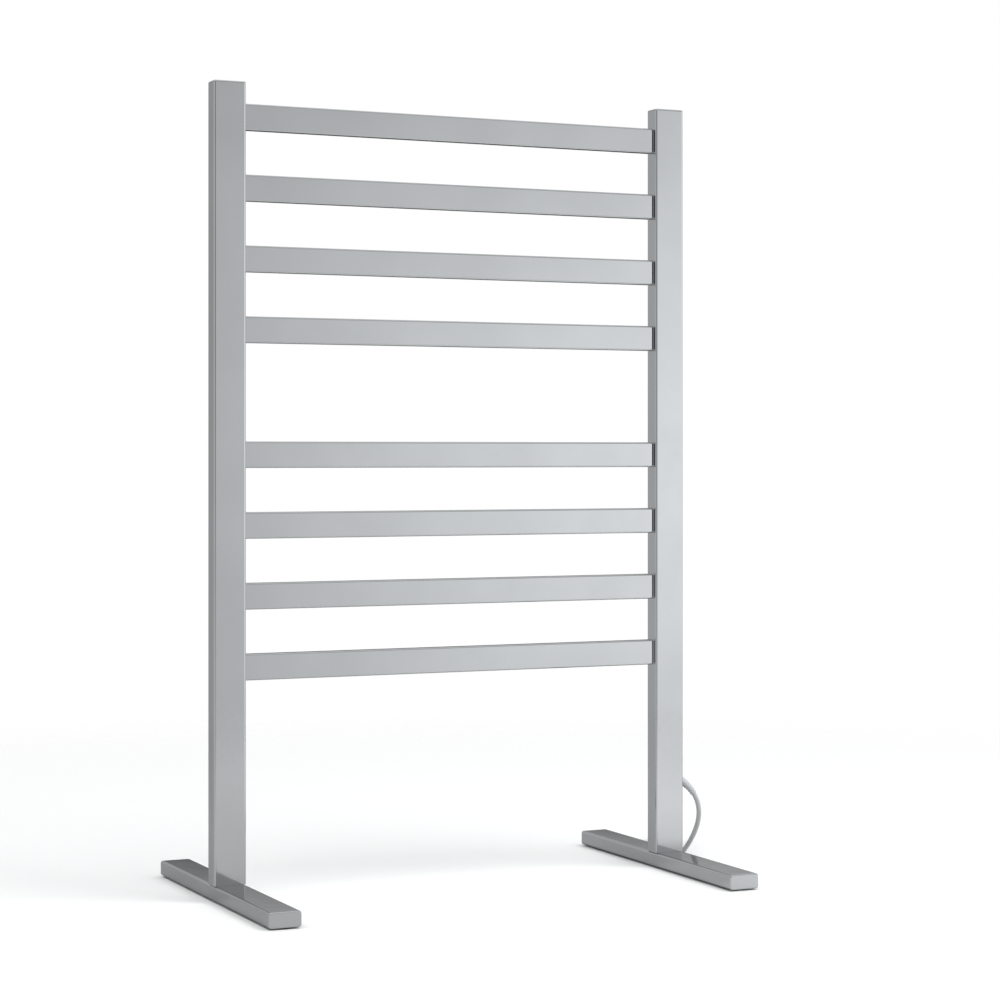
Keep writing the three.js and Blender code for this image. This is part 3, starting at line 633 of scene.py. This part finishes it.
def make_upright(side, finish):
    low, high, middle = size_mm(f"{side}_upright")
    width, depth = high.x - low.x, high.y - low.y
    body = tube(width, depth, UPRIGHT_RADIUS, UPRIGHT_WALL, low.z, high.z)
    laid(body, "Z", (middle.x, middle.y, 0))
    tools = []
    inward = 1 if side == "left" else -1
    for bar in BARS:
        bar_low, bar_high, bar_middle = size_mm(bar)
        slot = rectangle_levels(
            bar_high.y - bar_low.y + 2 * FIT, bar_high.z - bar_low.z + 2 * FIT, BAR_RADIUS + FIT,
            [(0, -2 * UPRIGHT_WALL), (0, 2 * UPRIGHT_WALL)],
        )
        face = middle.x + inward * width / 2
        tools.append(laid(loft(slot), "X", (face, bar_middle.y, bar_middle.z)))
    if side == "right":
        through = 4  # how far each tool reaches to either side of the wall's outer face
        hole = GLAND_BODY_RADIUS + 0.2
        gland = lathe_loops([(hole, -through), (hole, through)])
        tools.append(laid(loft(gland), "X", (high.x, middle.y, GLAND_HEIGHT)))
        window = rectangle_levels(
            SWITCH_BODY["width"] + 2 * FIT, SWITCH_BODY["height"] + 2 * FIT, 0.5,
            [(0, -through), (0, through)],
        )
        tools.append(laid(loft(window), "Y", (middle.x, high.y, SWITCH_HEIGHT)))
    piece(f"{side}_upright_tube", cut(body, *tools), finish, [f"{side}_upright"])


def make_top_cap(side, finish):
    low, high, middle = size_mm(f"{side}_top_cap")
    seat = size_mm(f"{side}_upright")[1].z
    width, depth = high.x - low.x, high.y - low.y
    levels = soft_start(seat, HAIRLINE, 1) + soft_end(high.z, 1.8, 6)
    plate = loft(rectangle_levels(width, depth, UPRIGHT_RADIUS, levels))
    inside = 2 * (UPRIGHT_WALL + FIT)
    spigot = loft(rectangle_levels(
        width - inside, depth - inside, 0.75, soft_start(low.z, 0.5, 2) + [(0, seat + 0.2)]))
    made = laid(merged(plate, spigot), "Z", (middle.x, middle.y, 0))
    piece(f"{side}_upright_cap", made, finish, [f"{side}_top_cap"])


def make_bar(name, finish):
    low, high, middle = size_mm(name)
    body = tube(high.y - low.y, high.z - low.z, BAR_RADIUS, BAR_WALL, low.x, high.x)
    laid(body, "X", (0, middle.y, middle.z))
    piece(f"{name}_tube", body, finish, [name])


def make_bead(bar, side, finish):
    """The polished fillet round a bar's end, against the upright's inner face."""
    low, high, middle = size_mm(bar)
    upright_low, upright_high, _ = size_mm(f"{side}_upright")
    face, away = (upright_high.x, 1) if side == "left" else (upright_low.x, -1)
    in_bar = 0.1
    in_upright = -away * 0.05
    steps = 5
    levels = [(in_bar, in_upright), (in_bar, away * BEAD)]
    for i in range(steps + 1):
        angle = i / steps * math.pi / 2
        levels.append((-BEAD * (1 - math.cos(angle)), away * BEAD * (1 - math.sin(angle))))
    levels.append((-BEAD, in_upright))
    ring = loft(
        rectangle_levels(high.y - low.y, high.z - low.z, BAR_RADIUS, levels), ring=True
    )
    laid(ring, "X", (face, middle.y, middle.z))
    piece(f"{bar}_{side}_bead", ring, finish)


def make_foot(side, finish, rubber, zinc):
    name = f"{side}_foot"
    low, high, middle = size_mm(name)
    width, height = high.x - low.x, high.z - low.z
    body = tube(width, height, FOOT_RADIUS, FOOT_WALL, low.y, high.y)
    laid(body, "Y", (middle.x, 0, middle.z))
    holes = []
    drills = (
        (BOLT_ACCESS_RADIUS, low.z - FOOT_WALL, low.z + 2 * FOOT_WALL),
        (BOLT_HOLE_RADIUS, high.z - 2 * FOOT_WALL, high.z + FOOT_WALL),
    )
    for number in (1, 2):
        bolt = size_mm(f"{name}_bolt_{number}")[2]
        for radius, start, end in drills:
            drill = loft(lathe_loops([(radius, start), (radius, end)], 40))
            holes.append(laid(drill, "Z", (bolt.x, bolt.y, 0)))
        make_bolt(f"{name}_bolt_{number}", zinc)
    piece(f"{name}_tube", cut(body, *holes), finish, [name])
    for end, sign in (("front", -1), ("rear", 1)):
        make_foot_cap(f"{name}_{end}_cap", sign, high.y, finish)
        make_pad(f"{name}_{end}_pad", rubber)


def make_foot_cap(name, sign, seat, finish):
    low, high, middle = size_mm(name)
    width, height = high.x - low.x, high.z - low.z
    reach = max(abs(low.y), abs(high.y))
    levels = soft_start(seat, HAIRLINE, 1) + soft_end(reach, 1.5, 5)
    plate = loft(rectangle_levels(width, height, FOOT_RADIUS, levels))
    inside = 2 * (FOOT_WALL + FIT)
    spigot = loft(rectangle_levels(
        width - inside, height - inside, 1, [(0.4, seat - 10), (0, seat - 9.6), (0, seat + 0.2)]))
    made = merged(plate, spigot)
    if sign < 0:
        bmesh.ops.rotate(made, verts=made.verts, matrix=Matrix.Rotation(math.pi, 3, "X"))
    laid(made, "Y", (middle.x, 0, middle.z))
    piece(f"{name}_shell", made, finish, [name])


def make_pad(name, finish):
    low, high, middle = size_mm(name)
    width, length = high.x - low.x, high.y - low.y
    sole = [(2.2, low.z + 0.35), (1.8, low.z), (0.6, low.z), (0.2, low.z + 0.2)]
    levels = sole + [(0, low.z + 0.5), (0, high.z)]
    pad = loft(rectangle_levels(width, length, PAD_RADIUS, levels))
    laid(pad, "Z", (middle.x, middle.y, 0))
    piece(f"{name}_rubber", pad, finish, [name])


def make_bolt(name, finish):
    low, high, middle = size_mm(name)
    seat = low.z + BOLT["head_height"]
    head, shank = BOLT["head_radius"], BOLT["radius"]
    profile = [(head - 0.5, low.z), (head, low.z + 0.5), (head, seat - 0.4), (head - 0.3, seat)]
    profile += [(shank, seat), (shank, high.z - 0.6), (shank - 0.6, high.z)]
    body = loft(lathe_loops(profile, 40))
    key = BOLT["socket_radius"]
    socket = loft(lathe_loops([(key, low.z - 1), (key, low.z + BOLT["socket_depth"])], 6))
    made = laid(cut(body, socket), "Z", (middle.x, middle.y, 0))
    piece(f"{name}_screw", made, finish, [name])


# ---- Rocker switch on the rear of the right upright ---------------------------------------------
def switch_place():
    """The frame of the rocker's pivot: +Y out of the upright."""
    _, high, middle = size_mm("right_upright")
    return Matrix.Translation(
        Vector((middle.x, high.y - ROCKER_PIVOT_DEPTH, SWITCH_HEIGHT)) * MM)


def make_housing(finish):
    low, high, _ = size_mm("switch_housing")
    upright = size_mm("right_upright")[1].y
    zero = upright - ROCKER_PIVOT_DEPTH
    top = high.y - zero
    face = upright - zero + 0.05
    back = low.y - zero
    width, height = high.x - low.x, high.z - low.z
    pocket = SWITCH_POCKET
    bezel = [(0, face)] + soft_end(top, 0.9, 4)
    case = [(0, back), (0, face)]
    loops = rectangle_levels(SWITCH_BODY["width"], SWITCH_BODY["height"], 0.6, case, 3)
    loops += rectangle_levels(width, height, SWITCH_BEZEL_RADIUS, bezel, 3)
    lip = [(-0.35, top), (-0.1, top - 0.12), (0, top - 0.4), (0, face - pocket["depth"])]
    loops += rectangle_levels(pocket["width"], pocket["height"], 0.4, lip, 3)
    piece("switch_case", laid(loft(loops), "Y"), finish, ["switch_housing"],
          matrix=switch_place())


def rocker_outline():
    """The rocker's side as (out, up): a disc cut flat below and to a shallow V above."""
    r, ridge, under = ROCKER["radius"], ROCKER["ridge"], ROCKER["underside"]
    slope = ROCKER["rise"] / r
    tenths = (math.radians(tenth / 10) for tenth in range(900))
    top = next(a for a in tenths if r * math.sin(a) >= ridge + slope * r * math.cos(a))
    low = -math.asin(under / r)
    steps = 10
    side = [(low + (top - low) * i / steps) for i in range(steps + 1)]
    upper = [(r * math.sin(a), r * math.cos(a)) for a in side]
    valley = []
    for up in (3, 1.5, 0, -1.5, -3):
        softening = 0.25 * math.exp(-(up / 1.2) ** 2)
        valley.append((ridge + slope * abs(up) + softening, up))
    lower = [(out, -up) for out, up in reversed(upper)]
    return upper + valley + lower


def make_rocker(finish, marks):
    half = ROCKER["width"] / 2
    outline = rocker_outline()
    key = loft([[(out, up, along) for out, up in outline] for along in (-half, half)])
    reach = TRUNNION["length"] / 2
    pin = loft(lathe_loops([(TRUNNION["radius"], -reach), (TRUNNION["radius"], reach)], 24))
    tilt = Matrix.Rotation(math.radians(-ROCKER["tilt"]), 4, "X")
    place = switch_place() @ tilt
    piece("rocker_key", laid(key, "X"), finish, ["switch_rocker"],
          "rocker", 0.35, place)
    piece("rocker_pin", laid(pin, "X"), finish, (), "rocker", 0.15, place)
    sunk, proud = -0.2, 0.06  # where each mark starts and ends, from the key's face
    bar = rectangle_levels(0.55, 2.6, 0.2, [(0, sunk), (0, proud)], 3)
    ring = lathe_loops([(1.3, sunk), (1.3, proud), (0.85, proud), (0.85, sunk)], 24)
    slope = ROCKER["rise"] / ROCKER["radius"]
    for name, up, mark in (
        ("on_mark", 5, loft(bar)), ("off_mark", -5, loft(ring, ring=True)),
    ):
        laid(mark, "Y")
        lean = math.atan(slope) if up > 0 else -math.atan(slope)
        bmesh.ops.rotate(mark, verts=mark.verts, matrix=Matrix.Rotation(-lean, 3, "X"))
        out = ROCKER["ridge"] + slope * abs(up)
        bmesh.ops.translate(mark, verts=mark.verts, vec=(0, out, up))
        piece(f"rocker_{name}", mark, marks, (), "rocker", 0, place)


# ---- What is on the cord ------------------------------------------------------------------------
def swept(points, radii, steps=24):
    """A round rod along points, with its radius at each, turned as little as it can be."""
    loops = []
    across = None
    for i, (point, radius) in enumerate(zip(points, radii)):
        tangent = (points[min(i + 1, len(points) - 1)] - points[max(i - 1, 0)]).normalized()
        if across is None:
            across = tangent.cross(Vector((0, 0, 1)))
        across = (across - tangent * across.dot(tangent)).normalized()
        up = across.cross(tangent)
        loops.append([point + across * u + up * v for u, v in circle(radius, steps)])
    return loft(loops)


def ribbed(share, base, tip, ribs, depth):
    """A tapered sleeve's radius, with grooves cut between its ribs."""
    taper = base + (tip - base) * share
    groove = max(0, math.sin(share * ribs * 2 * math.pi)) ** 0.5 if 0.12 < share < 0.97 else 0
    return taper - depth * groove


def make_gland(finish):
    low, high, middle = size_mm("cord_gland")
    face = size_mm("right_upright")[1].x
    back = face + 0.05
    body, flange = GLAND_BODY_RADIUS, GLAND_FLANGE_RADIUS
    profile = [(body, low.x), (body, back), (flange, back), (flange, high.x - 0.6)]
    profile += [(flange - 0.2, high.x - 0.2), (flange - 0.7, high.x)]
    made = laid(loft(lathe_loops(profile, 48)), "X", (0, middle.y, middle.z))
    return piece("cord_gland_bush", made, finish, ["cord_gland"])


def make_relief(finish, line):
    """The tapered sleeve on the cord's first stretch, from inside the gland's flange."""
    steps = 66
    unseen = 6.2  # the part of its length that is inside the gland
    length = RELIEF_LENGTH - unseen
    fine = [p / MM for p in line]
    ends, run = [], 0
    for a, b in zip(fine, fine[1:]):
        ends.append((run, a, b))
        run += (b - a).length
    stops, radii = [], []
    for i in range(steps + 1):
        reach = length * i / steps
        start, a, b = next(e for e in reversed(ends) if e[0] <= reach)
        stops.append(a + (b - a).normalized() * (reach - start))
        radii.append(
            ribbed(i / steps, RELIEF_BASE_RADIUS, RELIEF_TIP_RADIUS, ribs=6, depth=0.55))
    tucked = 1.2  # how far it goes on into the flange
    first = stops[0] - (stops[1] - stops[0]).normalized() * tucked
    made = swept([first, *stops], [RELIEF_BASE_RADIUS, *radii], 32)
    return piece("cord_relief_sleeve", made, finish, ["cord_strain_relief"])


def make_tie(finish):
    """A hook-and-loop strap round the hank, with its end lapped over the top."""
    half_span = 9.96  # from the hank's axis to the strap's outer side
    corner = 2.4
    outer = rounded(2 * half_span, TIE_HEIGHT, corner)
    inner = rounded(
        2 * (half_span - TIE_THICK), TIE_HEIGHT - 2 * TIE_THICK, corner - TIE_THICK)
    half = TIE_WIDTH / 2
    loops = []
    for shape, along in ((outer, -half), (outer, half), (inner, half), (inner, -half)):
        loops.append([(u, v + TIE_HEIGHT / 2, along) for u, v in shape])
    band = laid(loft(loops, ring=True), "Y", (0, TIE_PLACE, 0))
    gap, thick = 0.02, 0.9  # of the strap's lapped end, on the band
    across = TIE_WIDTH - 0.6
    lap = loft(rectangle_levels(15, across, 1.6, [(0, 0), (0, thick)]))
    laid(lap, "Z", (-1.2, TIE_PLACE, TIE_HEIGHT + gap))
    side = loft(rectangle_levels(across, 13, 1.6, [(0, 0), (0, thick)]))
    laid(side, "X", (half_span + gap, TIE_PLACE, 20))
    made = merged(band, lap, side)
    return piece("hank_strap", made, finish, ["hank_tie"], bevel=0.25,
                 matrix=HANK_FRAME)


def make_plug(finish):
    """The plug's grip, waisted and grooved, with the ribbed neck that holds the cord."""
    length = PLUG["length"]
    rear_edge, front_edge = 3, 1.2
    steps = 36
    waist = []
    for i in range(steps + 1):
        share = i / steps
        pull = 1.6 * math.sin(math.pi * share) ** 2
        groove = 0.45 if 0.22 < share < 0.75 and (i // 2) % 3 == 0 else 0
        waist.append((pull + groove, length * share))
    body = soft_start(0, rear_edge, 6)[:-1]
    body += [(inset, along) for inset, along in waist if rear_edge <= along <= length - 1.5]
    body += soft_end(length, front_edge)
    grip = loft(rectangle_levels(PLUG["width"], PLUG["height"], PLUG["radius"], body, 8))
    steps = 60
    neck = []
    for i in range(steps + 1):
        share = i / steps
        radius = ribbed(1 - share, PLUG_NECK["body"], PLUG_NECK["cord"], ribs=6, depth=0.6)
        neck.append((radius, PLUG_NECK["length"] * (share - 1) + 0.8 * share))
    stem = loft(lathe_loops(neck, 32))
    made = laid(merged(grip, stem), "Y", (0, PLUG["start"], PLUG["up"]))
    return piece("plug_grip", made, finish, ["plug_body"], matrix=HANK_FRAME)


def make_pins(finish):
    root = 0.5  # of each pin, inside the plug's body
    start = PLUG["start"] + PLUG["length"] - root
    up = PLUG["up"] + BLADE["rise"]
    made = []
    for name, place in (("line", 1), ("neutral", -1)):
        end = BLADE["length"] + root + TOUCH
        levels = [(0, 0), (0, end - 1.6), (0.2, end - 0.5), (0.5, end)]
        blade = loft(rectangle_levels(BLADE["width"], BLADE["height"], 0.3, levels, 3))
        across = place * BLADE["spacing"] / 2
        laid(blade, "Y", (across, start, up))
        hole = loft(lathe_loops([(1.5, -3), (1.5, 3)]))
        laid(hole, "X", (across, start + end - 4.2, up))
        made.append(piece(f"plug_{name}_pin", cut(blade, hole), finish,
                          [f"plug_{name}_blade"], matrix=HANK_FRAME))
    r, end = EARTH_PIN["radius"], EARTH_PIN["length"] + root + TOUCH
    nose = [(r * math.cos(a), end - r + r * math.sin(a)) for a in
            (math.radians(x) for x in (0, 15, 30, 45, 60, 75, 86))]
    pin = laid(loft(lathe_loops([(r, 0), *nose])), "Y", (0, start, PLUG["up"] - EARTH_PIN["drop"]))
    made.append(piece("plug_earth_prong", pin, finish, ["plug_earth_pin"],
                      matrix=HANK_FRAME))
    return made


make_camera()
make_stage()
steel = polished_steel()
rubber = grained("pad_rubber", (0.035, 0.035, 0.036), 0.85, 900, 0.00006, 0.7)
zinc = grained("zinc_steel", (0.6, 0.61, 0.62), 0.38, 1800, 0.00001, 0.85, 1.0)
brass = grained("plated_brass", (0.72, 0.6, 0.36), 0.3, 1600, 0.000006, 0.88, 1.0)
vinyl = grained("cord_vinyl", (0.6, 0.61, 0.62), 0.42, 1500, 0.00002, 0.9)
black = grained("black_plastic", (0.02, 0.02, 0.022), 0.42, 1400, 0.00002, 0.75)
white = grained("white_plastic", (0.78, 0.78, 0.76), 0.45, 1300, 0.00002, 0.93)
sheath = grained("heater_sheath", (0.4, 0.09, 0.045), 0.6, 700, 0.00004, 0.8)
earth = grained("earth_vinyl", (0.16, 0.34, 0.05), 0.5, 1200, 0.00002, 0.85)

for side in ("left", "right"):
    make_upright(side, steel)
    make_top_cap(side, steel)
    make_foot(side, steel, rubber, zinc)
for bar in BARS:
    make_bar(bar, steel)
    for side in ("left", "right"):
        make_bead(bar, side, steel)
make_housing(black)
make_rocker(black, white)

cord, cord_points = make_cord(vinyl)
on_cord = [
    make_gland(vinyl), make_relief(vinyl, cord_points), make_tie(hook_and_loop()),
    make_plug(vinyl), *make_pins(brass),
]

# What stays as the CAD made it, inside the tubes, by the start of its name: the first that fits
INSIDE = {
    "heater_harness": white, "heater_": sheath, "thermal_cutout": black, "terminal_block": white,
    "switch_supply_wire": black, "switch_load_wire": black, "earth_wire": earth,
    "switch_supply_tab": brass, "switch_load_tab": brass, "earth_tag": brass,
    "earth_screw": zinc, "left_base_plug": zinc, "right_base_plug": zinc,
}
for name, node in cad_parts.items():
    if not node.hide_render:
        finish = next(paint for start, paint in INSIDE.items() if name.startswith(start))
        node.data.materials.clear()
        node.data.materials.append(finish)
